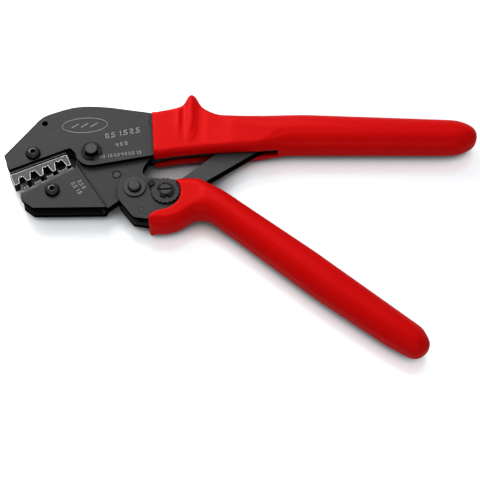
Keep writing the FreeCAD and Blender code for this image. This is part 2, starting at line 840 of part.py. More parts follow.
def lower_grip_outline():
    """Prong and tail round the adjusting wheel, then the hand region."""
    return [
        (43.9, -18.9),
        (44.2, -16.2, 1.4),
        (57.0, -15.4, 8.0),
        (70.4, -22.9, 30.0),
        (116.8, -58.8, 60.0),
        (169.3, -102.1, 7.0),
        (173.2, -111.5, 5.0),
        (165.4, -118.2, 6.5),
        (150.2, -109.0, 30.0),
        (115.6, -83.0, 60.0),
        (61.3, -37.6, 6.0),
        (55.5, -37.4, 6.0),
        (47.5, -43.2, 8.0),
        (40.0, -45.5, 10.0),
        (31.6, -45.0, 2.5),
        (30.4, -40.2, 4.0),
        (34.4, -37.2, 3.0),
        (38.8, -36.0),
        ("via", 47.0, -27.0),
    ]


def grip_blank(label, points):
    """The outline padded about mid-thickness, with its outer edges rounded."""
    body = new_body(label)
    sketch = new_sketch(body, "Outline")
    outline(sketch, points)
    block = pad(body, sketch, "2 * grip_half", midplane=True)
    doc.recompute()
    level = size("grip_half")
    names = []
    for number, edge in enumerate(block.Shape.Edges, start=1):
        box = edge.BoundBox
        if box.ZLength < 1e-6 and abs(abs(box.ZMax) - level) < 1e-6:
            names.append(f"Edge{number}")
    rounding = body.newObject("PartDesign::Fillet", "RoundedEdges")
    rounding.Base = (block, names)
    rounding.setExpression("Radius", bound("grip_edge_radius"))
    body.Tip = rounding
    return body


def upper_grip():
    """Fixed grip: hollow for the frame tangs and open below where the strut swings."""
    body = grip_blank("upper_grip", upper_grip_outline())
    tang = new_sketch(body, "Tang")
    outline(tang, frame_outline())
    pocket(body, tang, length="2 * outer_face")
    throat = new_sketch(body, "Throat")
    outline(throat, [(20, -8), (98.0, -8), (98.0, 5.0), (70, 4.0), (20, 4.0)])
    pocket(body, throat, length="2 * outer_start")


def lower_grip():
    """Moving grip: hollow for the handle tangs and the wheel's rim, slotted for the strut."""
    body = grip_blank("lower_grip", lower_grip_outline())
    tang = new_sketch(body, "Tang")
    outline(tang, handle_outline())
    pocket(body, tang, length="2 * outer_face")
    recess = new_sketch(body, "WheelRecess")
    circle(recess, *PIVOTS["adjuster"], "wheel_radius + 0.3")
    pocket(body, recess, length="2 * (outer_face + wheel_thickness + 0.3)")
    sweep = new_sketch(body, "StrutSweep")
    outline(sweep, [(40.0, -34.0, 3.0), (66.0, -33.6, 3.0), (88.0, -33.6), (88.0, 0), (40.0, 0)])
    pocket(body, sweep, length="2 * outer_start")


# ---------------------------------------------------------------- assembly

frame_plate("frame_plate_front", "outer_start")
frame_plate("frame_plate_rear", "-1 * outer_face")
rivets("frame_rivets", FRAME_RIVETS + [SPRING_POST])
spacers("frame_spacers", FRAME_RIVETS)
keep(spacer("locator_x", "locator_y", "locator_radius"), "locator_bush")
main_pivot_pin()
main_clip = retaining_clip("MainClip", "main", "main_clip_radius", -55, "outer_face + layer_gap")
keep(main_clip, "main_pivot_clip")
plain_pin("strut_pin", *PIVOTS["strut"], "strut_pin_radius", "outer_face")
upper_die()
die_screw("upper_die_screw", UPPER_SCREW)
opening_spring()
upper_grip()

jaw_plate("jaw_plate_front", 1)
jaw_plate("jaw_plate_rear", -1)
jaw_rivet_half = "(plate_thickness + running_gap)"
plain_pin("jaw_rivet", str(JAW_RIVET[0]), str(JAW_RIVET[1]), "rivet_radius", jaw_rivet_half)
lower_die()
die_screw("lower_die_screw", LOWER_SCREW)

handle_plate("handle_plate_front", "outer_start")
handle_plate("handle_plate_rear", "-1 * outer_face")
rivets("handle_rivets", HANDLE_RIVETS)
spacers("handle_spacers", HANDLE_RIVETS)
handle_pivot_pin()
handle_pivot_washers()
plain_pin("pawl_pin", *PIVOTS["pawl"], "pawl_pin_radius", "outer_face")
pawl_spring()
lock_screw()
lower_grip()

toggle_strut()
plain_pin("spring_hook_pin", str(HOOK_PIN[0]), str(HOOK_PIN[1]), "hook_pin_radius", "core_half")
adjusting_pin()
adjusting_wheel()
adjuster_clips()
pawl()

doc.recompute()
failed = [item.Name for item in doc.Objects if {"Invalid", "Error"} & set(item.State)]
for item in SUB_PARTS:
    if item.Shape.isNull() or not item.Shape.isValid() or not item.Shape.Solids:
        failed.append(item.Label)
if failed:
    raise RuntimeError(f"these did not build: {failed}")
os.makedirs("parts", exist_ok=True)
for item in SUB_PARTS:
    item.Shape.exportStep(f"parts/{item.Label}.step")
print(len(SUB_PARTS), "sub-parts written")
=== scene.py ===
import math

import bmesh
import bpy
import numpy as np
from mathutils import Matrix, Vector


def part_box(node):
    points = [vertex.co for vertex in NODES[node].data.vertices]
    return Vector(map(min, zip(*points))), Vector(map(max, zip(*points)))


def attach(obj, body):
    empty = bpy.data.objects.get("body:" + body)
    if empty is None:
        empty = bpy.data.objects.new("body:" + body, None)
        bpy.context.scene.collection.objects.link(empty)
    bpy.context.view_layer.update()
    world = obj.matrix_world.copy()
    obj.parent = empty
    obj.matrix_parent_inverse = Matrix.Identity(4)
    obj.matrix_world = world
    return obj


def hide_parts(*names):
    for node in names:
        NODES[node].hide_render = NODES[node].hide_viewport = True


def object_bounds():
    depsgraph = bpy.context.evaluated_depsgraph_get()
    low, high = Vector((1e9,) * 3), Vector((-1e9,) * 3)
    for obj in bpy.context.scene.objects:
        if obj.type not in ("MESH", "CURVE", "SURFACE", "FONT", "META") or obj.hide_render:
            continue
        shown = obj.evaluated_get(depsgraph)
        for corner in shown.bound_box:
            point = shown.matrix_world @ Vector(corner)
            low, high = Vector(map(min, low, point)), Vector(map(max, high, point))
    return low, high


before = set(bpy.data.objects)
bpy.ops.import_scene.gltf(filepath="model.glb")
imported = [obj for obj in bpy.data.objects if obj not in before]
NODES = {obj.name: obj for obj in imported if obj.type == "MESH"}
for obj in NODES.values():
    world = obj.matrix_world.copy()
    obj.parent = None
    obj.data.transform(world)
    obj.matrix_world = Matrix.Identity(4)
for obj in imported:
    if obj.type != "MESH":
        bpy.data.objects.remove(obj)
CAD_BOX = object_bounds()

# Lengths are in metres, as in the frame, except where a name ends in _MM.
MM = 0.001


# ---------------------------------------------------------------- places read from the frame

def centre_mm(node):
    low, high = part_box(node)
    return (low + high) / 2 / MM


MAIN_PIVOT = centre_mm("main_pivot_pin")
WHEEL = centre_mm("adjusting_wheel")
PLATE_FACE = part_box("frame_plate_front")[1].z / MM
GRIP_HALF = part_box("upper_grip")[1].z / MM


# ---------------------------------------------------------------- node materials

# How steeply the shares of edges, open faces and flat faces rise: they place the lightened rims, the
# painted shade in hollows and the painted shade on cut edges.
EDGE_GAIN = 6.0
OPEN_GAIN = 1.2
FLAT_GAIN = 4.0
# How upright the normal of a face of a plate is at least; steeper surfaces are painted darker as
# shade.
FACE_UPRIGHT = 0.55
# The slope of a joggle counts as a face from here.
SLOPE_UPRIGHT = 0.2
# Painted shade: steel is painted near black in corners and hollows narrower than this reach.
SHADE_REACH_MM = 2.8
SHADE_POWER = 2.6
PAINTED_SHADE_TONE = 0.0006


class Finish:
    """A node material and short ways to add nodes to it."""

    def __init__(self, name, **inputs):
        self.material = bpy.data.materials.new(name)
        self.material.use_nodes = True
        self.tree = self.material.node_tree
        self.shader = self.tree.nodes["Principled BSDF"]
        for key, value in inputs.items():
            self.put(key.replace("_", " "), value)
        self.place = self.add("ShaderNodeTexCoord").outputs["Object"]

    def add(self, kind, settings=None, **inputs):
        item = self.tree.nodes.new(kind)
        for key, value in (settings or {}).items():
            setattr(item, key, value)
        for key, value in inputs.items():
            self.feed(item.inputs[key.replace("_", " ")], value)
        return item

    def feed(self, socket, value):
        if isinstance(value, bpy.types.NodeSocket):
            self.tree.links.new(value, socket)
        else:
            socket.default_value = value

    def put(self, name, value):
        """Sets an input of the material's main shader."""
        self.feed(self.shader.inputs[name], value)

    def math(self, operation, *values):
        item = self.tree.nodes.new("ShaderNodeMath")
        item.operation = operation
        for socket, value in zip(item.inputs, values):
            self.feed(socket, value)
        return item.outputs[0]

    def noise(self, scale, detail=4.0, stretch=None):
        """Noise in 0..1 whose scale is in cycles per metre; stretch scales the axes."""
        place = self.place
        if stretch:
            place = self.add("ShaderNodeMapping", Vector=place, Scale=stretch).outputs[0]
        return self.add("ShaderNodeTexNoise", Vector=place, Scale=scale, Detail=detail).outputs["Fac"]

    def spread(self, value, low, high):
        """Maps the useful middle of a noise onto low..high."""
        item = self.add("ShaderNodeMapRange", Value=value, From_Min=0.3, From_Max=0.7,
                        To_Min=low, To_Max=high)
        return item.outputs[0]

    def speckle(self, scale, detail=4.0, low=0.0, high=1.0):
        return self.spread(self.noise(scale, detail), low, high)

    def blend(self, first, second, first_share):
        """Weighted sum of two values in 0..1."""
        return self.math("ADD", self.math("MULTIPLY", first, first_share),
                         self.math("MULTIPLY", second, 1.0 - first_share))

    def mix(self, share, first, second):
        item = self.tree.nodes.new("ShaderNodeMix")
        item.data_type = "RGBA"
        self.feed(item.inputs["Factor"], share)
        self.feed(item.inputs[6], first)
        self.feed(item.inputs[7], second)
        return item.outputs[2]

    def bump(self, height, depth, under=None):
        """Bump of the given depth in metres for a height in 0..1."""
        item = self.add("ShaderNodeBump", Height=height, Distance=depth)
        if under is not None:
            self.feed(item.inputs["Normal"], under)
        return item.outputs[0]

    def rounded(self, radius):
        item = self.add("ShaderNodeBevel", {"samples": 4}, Radius=radius)
        return item.outputs[0]

    def edge_share(self, radius):
        """0 on flat faces, rising to 1 where the surface turns a corner; it places the rims that are
        lightened by wear and a painted highlight.
        """
        soft = self.rounded(radius)
        hard = self.add("ShaderNodeNewGeometry").outputs["Normal"]
        item = self.add("ShaderNodeVectorMath", {"operation": "DOT_PRODUCT"})
        self.feed(item.inputs[0], soft)
        self.feed(item.inputs[1], hard)
        turned = self.math("SUBTRACT", 1.0, item.outputs["Value"])
        return self.math("MINIMUM", self.math("MULTIPLY", turned, EDGE_GAIN), 1.0)

    def open_share(self, reach, power):
        """1 on open faces, falling towards 0 in corners and hollows narrower than the reach; it places
        painted shade.
        """
        item = self.add("ShaderNodeAmbientOcclusion", {"samples": 8}, Distance=reach)
        lifted = self.math("MULTIPLY", item.outputs["AO"], OPEN_GAIN)
        return self.math("MINIMUM", 1.0, self.math("POWER", lifted, power))

    def flat_share(self, upright_from):
        """1 on faces parallel to the plates, 0 on their cut edges, which are painted darker as shade.
        """
        normal = self.add("ShaderNodeNewGeometry").outputs["True Normal"]
        local = self.add("ShaderNodeVectorTransform",
                         {"vector_type": "NORMAL", "convert_from": "WORLD", "convert_to": "OBJECT"},
                         Vector=normal).outputs[0]
        upright = self.add("ShaderNodeSeparateXYZ", Vector=local).outputs["Z"]
        above = self.math("SUBTRACT", self.math("ABSOLUTE", upright), upright_from)
        share = self.math("MULTIPLY", above, FLAT_GAIN)
        return self.math("MAXIMUM", 0.0, self.math("MINIMUM", share, 1.0))


def grey(level, warmth=0.0):
    return (level * (1 + warmth), level, level * (1 - warmth), 1.0)


def tone_with_painted_light(finish, face, edge, rim, wear_and_highlight, corner_mm, sheen, shade_reach_mm=SHADE_REACH_MM,
             upright_from=FACE_UPRIGHT):
    """Faces in one tone; cut edges in a darker tone without sheen and hollows in the painted shade
    tone, both painted shade; corners lightened to the rim's tone, partly wear and partly a painted
    highlight.
    """
    flat = finish.flat_share(upright_from)
    shade = finish.open_share(shade_reach_mm * MM, SHADE_POWER)
    # Painted shade: cut edges get the darker edge tone and hollows the painted shade tone.
    base = finish.mix(shade, grey(PAINTED_SHADE_TONE), finish.mix(flat, edge, face))
    # Rims lighter, partly wear and partly a painted highlight.
    worn_and_highlit = finish.math("MULTIPLY", finish.edge_share(corner_mm * MM), wear_and_highlight)
    worn_and_highlit = finish.math("MULTIPLY", worn_and_highlit, finish.math("MULTIPLY", flat, shade))
    finish.put("Base Color", finish.mix(worn_and_highlit, base, grey(rim)))
    finish.put("Specular IOR Level", finish.math("MULTIPLY", flat, sheen))


def plate_steel(name, tone=1.0, shade_reach_mm=SHADE_REACH_MM, upright_from=FACE_UPRIGHT):
    """Burnished sheet: faintly mottled satin faces, near black cut edges painted as shade, corners
    lighter from wear and a painted highlight.
    """
    finish = Finish(name, Metallic=0.0)
    speck = finish.speckle(2600.0, 3.0)
    mottle = finish.blend(finish.speckle(70.0, 5.0), speck, 0.5)
    face = finish.mix(mottle, grey(0.040 * tone), grey(0.047 * tone))
    # Near black tone of the cut edges: painted shade.
    edge = finish.mix(speck, grey(0.0008), grey(0.002))
    tone_with_painted_light(finish, face, edge, rim=0.09, wear_and_highlight=0.35, corner_mm=0.22, sheen=0.22,
             shade_reach_mm=shade_reach_mm, upright_from=upright_from)
    finish.put("Roughness", finish.speckle(420.0, low=0.50, high=0.60))
    finish.put("Normal", finish.bump(finish.noise(5200.0, 2.0), 0.004 * MM, finish.rounded(0.18 * MM)))
    return finish.material


def turned_steel():
    """Pins and rivets: faint turned tone on the ends, sides painted black as shade, rims lighter from
    wear and a painted highlight.
    """
    finish = Finish("turned_pin", Metallic=0.0)
    tone = finish.speckle(900.0)
    face = finish.mix(tone, grey(0.032), grey(0.043))
    # Near black tone of the sides: painted shade.
    edge = finish.mix(tone, grey(0.0008), grey(0.002))
    tone_with_painted_light(finish, face, edge, rim=0.09, wear_and_highlight=0.4, corner_mm=0.2, sheen=0.3)
    finish.put("Roughness", finish.speckle(1500.0, low=0.36, high=0.48))
    finish.put("Normal", finish.bump(finish.noise(3500.0, 2.0), 0.006 * MM, finish.rounded(0.2 * MM)))
    return finish.material


def clip_steel():
    """Spring steel clips, near black, with sides and hollows painted darker as shade and rims lighter
    from wear and a painted highlight.
    """
    finish = Finish("clip_black", Metallic=0.0)
    face = finish.mix(finish.speckle(1400.0), grey(0.005), grey(0.009))
    tone_with_painted_light(finish, face, grey(0.002), rim=0.03, wear_and_highlight=0.4, corner_mm=0.15, sheen=0.12)
    finish.put("Roughness", finish.speckle(1500.0, low=0.32, high=0.44))
    finish.put("Normal", finish.bump(finish.noise(3500.0, 2.0), 0.004 * MM, finish.rounded(0.12 * MM)))
    return finish.material


def black_screw():
    """Blackened socket screw, glossier than the plates, with its socket and other hollows painted
    darker as shade and rims lighter from wear and a painted highlight.
    """
    finish = Finish("blackened_screw", Metallic=0.0)
    face = finish.mix(finish.speckle(2200.0, 3.0), grey(0.002), grey(0.004))
    tone_with_painted_light(finish, face, grey(0.002), rim=0.06, wear_and_highlight=0.3, corner_mm=0.15, sheen=0.6)
    finish.put("Roughness", finish.speckle(1800.0, low=0.10, high=0.16))
    finish.put("Normal", finish.bump(finish.noise(4000.0), 0.004 * MM, finish.rounded(0.2 * MM)))
    return finish.material


def ground_steel(name, dark, light, rim, wear_and_highlight):
    """Ground tool steel: long fine scratches along the die, working edges lighter from polish and a
    painted highlight, and sides and hollows painted near black as shade.
    """
    finish = Finish(name, Metallic=0.85)
    scratch = finish.noise(800.0, 5.0, (1.0, 14.0, 14.0))
    tone = finish.blend(finish.spread(scratch, 0.0, 1.0), finish.speckle(300.0, 3.0), 0.6)
    base = finish.mix(tone, grey(dark), grey(light))
    # Rims lighter, partly polish and wear and partly a painted highlight.
    worn_and_highlit = finish.math("MULTIPLY", finish.edge_share(0.6 * MM), wear_and_highlight)
    lit = finish.mix(worn_and_highlit, base, grey(rim))
    # Painted shade: sides painted near black and hollows painted darker.
    face = finish.mix(finish.flat_share(FACE_UPRIGHT), grey(0.001), lit)
    finish.put("Base Color", finish.mix(finish.open_share(1.6 * MM, 3.0), grey(0.004), face))
    finish.put("Roughness", finish.spread(scratch, 0.30, 0.46))
    finish.put("Normal", finish.bump(scratch, 0.01 * MM, finish.rounded(0.15 * MM)))
    return finish.material


def drawn_wire():
    """Zinc-plated spring wire."""
    finish = Finish("drawn_wire", Metallic=0.9)
    tone = finish.speckle(2500.0)
    finish.put("Base Color", finish.mix(tone, grey(0.32, warmth=0.03), grey(0.48, warmth=0.03)))
    finish.put("Roughness", finish.speckle(1800.0, low=0.25, high=0.4))
    finish.put("Normal", finish.bump(finish.noise(6000.0), 0.004 * MM))
    return finish.material


DEEP_RED = (0.67, 0.0006, 0.0008, 1.0)
BRIGHT_RED = (0.72, 0.0010, 0.0012, 1.0)
# Rims are lightened to this red, partly wear and partly a painted highlight.
WORN_AND_HIGHLIT_RED = (0.78, 0.004, 0.004, 1.0)
# Dark red painted into the grips' hollows as shade, within the reach below.
SHADED_RED = (0.06, 0.0004, 0.0004, 1.0)
GRIP_SHADE_REACH_MM = 7.0
SEAM_HALF_MM = 0.09


def red_plastic():
    """Moulded plastic with a fine grain, faint flow marks and a parting line at mid-thickness; rims
    lighter from wear and a painted highlight, and hollows painted dark red as shade.
    """
    finish = Finish("moulded_red", IOR=1.46, Metallic=0.12, Specular_IOR_Level=0.07)
    tone = finish.blend(finish.speckle(28.0, 3.0), finish.speckle(1400.0, 2.0), 0.7)
    # Rims lighter, partly wear and partly a painted highlight.
    worn_and_highlit = finish.math("MULTIPLY", finish.edge_share(0.5 * MM), 0.25)
    lit = finish.mix(worn_and_highlit, finish.mix(tone, DEEP_RED, BRIGHT_RED), WORN_AND_HIGHLIT_RED)
    # Painted shade: hollows in the grips turn dark red.
    shade = finish.open_share(GRIP_SHADE_REACH_MM * MM, 2.0)
    finish.put("Base Color", finish.mix(shade, SHADED_RED, lit))
    finish.put("Roughness", finish.speckle(600.0, 3.0, 0.36, 0.44))
    grain = finish.bump(finish.noise(2400.0, 3.0), 0.015 * MM)
    height = finish.add("ShaderNodeSeparateXYZ", Vector=finish.place).outputs["Z"]
    seam = finish.math("LESS_THAN", finish.math("ABSOLUTE", height), SEAM_HALF_MM * MM)
    finish.put("Normal", finish.bump(seam, 0.05 * MM, grain))
    return finish.material


def laser_mark():
    """Pale laser marking with a slightly broken tone."""
    finish = Finish("laser_mark", Metallic=0.0, Roughness=0.7)
    finish.put("Base Color", finish.mix(finish.speckle(4000.0, 3.0), grey(0.38), grey(0.62)))
    return finish.material


# Colour of the floor's glow, painted light that only the camera sees; its faint blue tints the painted
# shadow.
FLOOR_GLOW = (0.60, 0.615, 0.63, 1.0)
FLOOR_SHINE = grey(0.28)
# The painted glow fades over this reach, between these shares of open sky, into a painted shadow under
# the tool.
GLOW_SHADOW_REACH_MM = 24
GLOW_SHADOW_FADE = (0.25, 0.68)


def floor_paint():
    """Pale satin floor with a barely visible mottle. A glow that only the camera sees, painted light,
    keeps it near white, as a lit studio sweep is, and fades where the tool stands close above it, a
    painted shadow."""
    finish = Finish("pale_floor", Roughness=0.9, Specular_IOR_Level=0.0)
    finish.put("Base Color", finish.mix(finish.speckle(6.0, 2.0), grey(0.36), grey(0.38)))
    around = finish.add("ShaderNodeAmbientOcclusion", {"samples": 12}, Distance=GLOW_SHADOW_REACH_MM * MM)
    shadow_fade = finish.add("ShaderNodeMapRange", {"interpolation_type": "SMOOTHSTEP"},
                      Value=around.outputs["AO"], From_Min=GLOW_SHADOW_FADE[0], From_Max=GLOW_SHADOW_FADE[1])
    seen = finish.add("ShaderNodeLightPath").outputs["Is Camera Ray"]
    # Painted shadow: the camera-only glow is weakened where the tool stands close above the floor.
    strength = finish.math("MULTIPLY", seen, shadow_fade.outputs[0])
    glow = finish.add("ShaderNodeEmission", Color=FLOOR_GLOW, Strength=strength)
    shine = finish.add("ShaderNodeBsdfGlossy", Color=FLOOR_SHINE, Roughness=0.22)
    total = finish.shader.outputs[0]
    for part in (glow, shine):
        layers = finish.add("ShaderNodeAddShader")
        finish.feed(layers.inputs[0], total)
        finish.feed(layers.inputs[1], part.outputs[0])
        total = layers.outputs[0]
    finish.feed(finish.tree.nodes["Material Output"].inputs["Surface"], total)
    return finish.material


PLATE = plate_steel("burnished_plate")
STRUT = plate_steel("burnished_strut", tone=1.4)
# The jaw plates' painted shade reaches further: below the frame plate's edge on the front plate and
# deep into the gap on the rear plate; their joggle slopes take the face tone.
JOGGLED = plate_steel("burnished_joggle", shade_reach_mm=5.0, upright_from=SLOPE_UPRIGHT)
REAR_JOGGLED = plate_steel("burnished_rear_joggle", shade_reach_mm=10.0, upright_from=SLOPE_UPRIGHT)
PIN = turned_steel()
CLIP = clip_steel()
SCREW = black_screw()
# Both dies use one ground steel: the upper die's near white rims are partly polish and partly a
# painted highlight, and the lower die is a copy with less painted highlight.
UPPER_DIE = ground_steel("ground_die", dark=0.03, light=0.08, rim=0.95, wear_and_highlight=1.0)
LOWER_DIE = ground_steel("ground_die_dimmer", dark=0.035, light=0.07, rim=0.5, wear_and_highlight=0.6)
WIRE = drawn_wire()
RED = red_plastic()
MARK = laser_mark()
# The finish of each material slot, and the nodes that differ from their slot's finish.
SLOT_FINISHES = {
    "plate_steel": PLATE,
    "pin_steel": PIN,
    "die_steel": UPPER_DIE,
    "spring_steel": WIRE,
    "grip_plastic": RED,
}
NODE_FINISHES = {
    "toggle_strut": STRUT,
    "jaw_plate_front": JOGGLED,
    "jaw_plate_rear": REAR_JOGGLED,
    "lock_screw": SCREW,
    "lower_die": LOWER_DIE,
    "upper_die_screw": SCREW,
    "lower_die_screw": SCREW,
    "main_pivot_clip": CLIP,
    "adjuster_clips": CLIP,
    "locator_bush": CLIP,
}


def finish_nodes():
    for name, item in NODES.items():
        for place in item.material_slots:
            slot_name = place.material.name.split(".")[0]
            place.material = NODE_FINISHES.get(name, SLOT_FINISHES.get(slot_name, PLATE))


# ---------------------------------------------------------------- sections through CAD nodes

def section_mm(node, level_mm):
    """The cut of a CAD node at one height, as an array of segments (count, 2 ends, x y)."""
    work = bmesh.new()
    work.from_mesh(NODES[node].data)
    bmesh.ops.remove_doubles(work, verts=work.verts, dist=1e-7)
    everything = work.verts[:] + work.edges[:] + work.faces[:]
    cut = bmesh.ops.bisect_plane(work, geom=everything, plane_co=(0, 0, level_mm * MM),
                                 plane_no=(0, 0, 1))
    edges = [item for item in cut["geom_cut"] if isinstance(item, bmesh.types.BMEdge)]
    segments = np.array([[vert.co[:2] for vert in edge.verts] for edge in edges]) / MM
    work.free()
    return segments


def distance_mm(points, segments):
    """Distance from each point to the nearest segment."""
    nearest = np.full(len(points), np.inf)
    for start, end in segments:
        along = end - start
        share = np.clip(((points - start) @ along) / max(along @ along, 1e-12), 0, 1)
        gap = points - start - share[:, None] * along
        nearest = np.minimum(nearest, np.hypot(gap[:, 0], gap[:, 1]))
    return nearest


def inside(points, segments):
    """Whether each point lies inside the closed outline, by counting crossings to its right."""
    odd = np.zeros(len(points), bool)
    x, y = points.T
    for (x0, y0), (x1, y1) in segments:
        if abs(y1 - y0) < 1e-12:
            continue
        straddles = (y0 > y) != (y1 > y)
        odd ^= straddles & (x < x0 + (y - y0) * (x1 - x0) / (y1 - y0))
    return odd


# ---------------------------------------------------------------- pieces and surfaces

def mesh_piece(name, body, points_mm, faces, material):
    """A visible piece that rides on a CAD body."""
    mesh = bpy.data.meshes.new(name)
    mesh.from_pydata((np.array(points_mm) * MM).tolist(), [], faces)
    mesh.materials.append(material)
    piece = bpy.data.objects.new(name, mesh)
    bpy.context.scene.collection.objects.link(piece)
    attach(piece, body)
    return piece


def surface_net(field, corner, step):
    """The zero level of a sampled field: a point in every cell that it crosses, at the mean of
    the crossings on the cell's edges, and a quad round every crossed edge."""
    cells = tuple(count - 1 for count in field.shape)
    total = np.zeros((*cells, 3))
    hits = np.zeros(cells, int)
    crossed = []
    for axis in range(3):
        first = np.moveaxis(field, axis, 0)[:-1]
        second = np.moveaxis(field, axis, 0)[1:]
        found = np.argwhere((first < 0) != (second < 0))
        low, high = first[tuple(found.T)], second[tuple(found.T)]
        place = np.insert(found[:, 1:], axis, found[:, 0], axis=1)
        crossing = place.astype(float)
        crossing[:, axis] += low / (low - high)
        side, other = [k for k in range(3) if k != axis]
        ring = []
        for a, b in ((0, 0), (1, 0), (1, 1), (0, 1)):
            cell = place.copy()
            cell[:, side] -= a
            cell[:, other] -= b
            np.add.at(total, tuple(cell.T), crossing)
            np.add.at(hits, tuple(cell.T), 1)
            ring.append(cell)
        outward = (low < 0) != (axis == 1)
        crossed.append((ring, outward))
    number = np.cumsum(hits.ravel() > 0).reshape(cells) - 1
    points = total[hits > 0] / hits[hits > 0][:, None] * step + corner
    quads = []
    for ring, outward in crossed:
        loop = np.stack([number[tuple(cell.T)] for cell in ring], axis=1)
        loop[outward] = loop[outward][:, ::-1]
        quads.append(loop)
    return points, np.concatenate(quads)


def relaxed(points, quads, steps):
    """Moves every point part of the way to the mean of its neighbours, once for each step."""
    pairs = np.concatenate([quads[:, [k, (k + 1) % 4]] for k in range(4)])
    count = np.bincount(pairs.ravel(), minlength=len(points))
    for step in steps:
        total = np.zeros_like(points)
        np.add.at(total, pairs[:, 0], points[pairs[:, 1]])
        np.add.at(total, pairs[:, 1], points[pairs[:, 0]])
        points = points + step * (total / count[:, None] - points)
    return points


# ---------------------------------------------------------------- grips

# Cell of the sampled field, and the room kept round the grip.
STEP_MM = 0.55
MARGIN_MM = 2.0
# Steps that take the cells' pattern out of the surface: forward, back, and a last small one.
RELAX_STEPS = [0.5, -0.52] * 6 + [0.3]
RIDGE_BLUR_MM = 1.6
# The section that gives the outline is taken here, above the hollows.
OUTER_WALL_MM = 7.2
# Sections through the hollows of the grips and the height up to which each hollow reaches.
HOLLOWS_MM = (
    (6.0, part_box("adjusting_wheel")[1].z / MM + 0.25),
    (3.8, PLATE_FACE + 0.05),
    (1.0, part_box("toggle_strut")[1].z / MM + 0.1),
)
HOLLOW_SEAM_MM = 0.6
# Rounding of the crisp rims next to the steel.
LIP_MM = 1.0
# Roundness of the section of a rim: 2 would be an ellipse.
RIM_POWER = 2.2
RIM_SCALE_MM = 6.0


def smooth_max(first, second, width):
    """Maximum of two fields with the seam between them rounded over a width."""
    overlap = np.maximum(width - np.abs(first - second), 0) / width
    return np.maximum(first, second) + overlap ** 2 * width / 4


def spread_out(field, reach_mm):
    """Softens a flat field, which rounds off the ridge where its slopes meet."""
    for _ in range(int(2 * (reach_mm / STEP_MM) ** 2)):
        padded = np.pad(field, ((1, 1), (0, 0)), mode="edge")
        field = field / 2 + (padded[2:] + padded[:-2]) / 4
        padded = np.pad(field, ((0, 0), (1, 1)), mode="edge")
        field = field / 2 + (padded[:, 2:] + padded[:, :-2]) / 4
    return field


def ease(value, start, end):
    """0 before the start, 1 after the end, and smooth between them."""
    share = np.clip((value - start) / (end - start), 0, 1)
    return share * share * (3 - 2 * share)


def crown(depth, height, rounding):
    """Below zero inside a slab whose rim is rounded over its depth. The height is a share of the
    slab's half thickness."""
    rim = np.maximum(1 - depth / rounding, 0)
    reach = (rim ** RIM_POWER + height ** RIM_POWER) ** (1 / RIM_POWER)
    return (reach - 1) * np.minimum(rounding, RIM_SCALE_MM)


def grip_piece(node, body, is_crisp, rounding_at, half_at):
    """A moulded grip: the CAD outline with a crowned section and the CAD hollows left free.
    The three functions take x and y in millimetres and say whether the rim is crisp there, how
    far it is rounded and how thick half of the grip is."""
    outline = section_mm(node, OUTER_WALL_MM)
    low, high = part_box(node)
    corner = np.array(low) / MM - MARGIN_MM
    counts = np.ceil((np.array(high) / MM + MARGIN_MM - corner) / STEP_MM).astype(int) + 1
    axes = [corner[k] + STEP_MM * np.arange(counts[k]) for k in range(3)]
    flat = np.stack(np.meshgrid(axes[0], axes[1], indexing="ij"), axis=-1)
    places = flat.reshape(-1, 2)
    middle = outline.mean(axis=1)
    crisp = is_crisp(middle[:, 0], middle[:, 1])
    to_soft = distance_mm(places, outline[~crisp])
    to_crisp = distance_mm(places, outline[crisp])
    within = inside(places, outline)
    soft = np.where(within | (to_crisp < to_soft), to_soft, -to_soft)
    soft = spread_out(soft.reshape(counts[0], counts[1]), RIDGE_BLUR_MM).ravel()
    full = np.where(within, 1, -1) * np.minimum(to_soft, to_crisp)
    rounding = rounding_at(*places.T)
    height = np.abs(axes[2])[None, :]
    share = height / half_at(*places.T)[:, None]
    shape = crown(soft[:, None], share, rounding[:, None])
    shape = np.maximum(shape, crown(full[:, None], share, LIP_MM))
    for level, top in HOLLOWS_MM:
        cut = section_mm(node, level)
        gap = np.where(inside(places, cut), -1, 1) * distance_mm(places, cut)
        hollow = np.minimum(top - height, gap[:, None])
        shape = smooth_max(shape, hollow, HOLLOW_SEAM_MM)
    points, quads = surface_net(shape.reshape(*counts), corner, STEP_MM)
    points = relaxed(points, quads, RELAX_STEPS)
    piece = mesh_piece(node + "_moulded", body, points, quads.tolist(), RED)
    piece.data.shade_smooth()
    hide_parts(node)


COLLAR_HALF = GRIP_HALF - 0.9
HAND_SWELL = 0.8
GUARD_X = 52.0
# Waves across the face below the thumb guard: shift from the guard, height, half width.
GUARD_WAVES_MM = ((0.0, 1.1, 2.5), (-3.6, -0.3, 1.5), (-6.4, 0.25, 2.0))


def upper_half(x, y):
    """Half thickness of the upper grip: flat collar, waves below the guard, full hand region."""
    half = COLLAR_HALF + HAND_SWELL * ease(x, 52, 75)
    for shift, height, width in GUARD_WAVES_MM:
        half = half + height * np.exp(-((x - GUARD_X - shift) / width) ** 2) * ease(y, 1, 18)
    return half


def lower_half(x, y):
    return COLLAR_HALF + HAND_SWELL * ease(x, 50, 75)


def upper_rounding(x, y):
    """Rim rounding: growing towards the hand region, and tight below where the grip is slotted."""
    above = 3.6 + 7.4 * ease(x, 55, 95)
    below = 3.0 + 8.0 * ease(x, 86, 108)
    return below + (above - below) * ease(y, 5, 15)


def lower_rounding(x, y):
    return 5.5 + 5.5 * ease(x, 45, 80)


# The grips' front ends are crisp over this much, and so is the cut-out round the wheel.
UPPER_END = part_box("upper_grip")[0].x / MM + 1.6
LOWER_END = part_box("lower_grip")[0].x / MM + 2.4
CUT_OUT_RADIUS_MM = 17.0
CUT_OUT_TOP_Y = -17.5


def upper_crisp(x, y):
    return x < UPPER_END


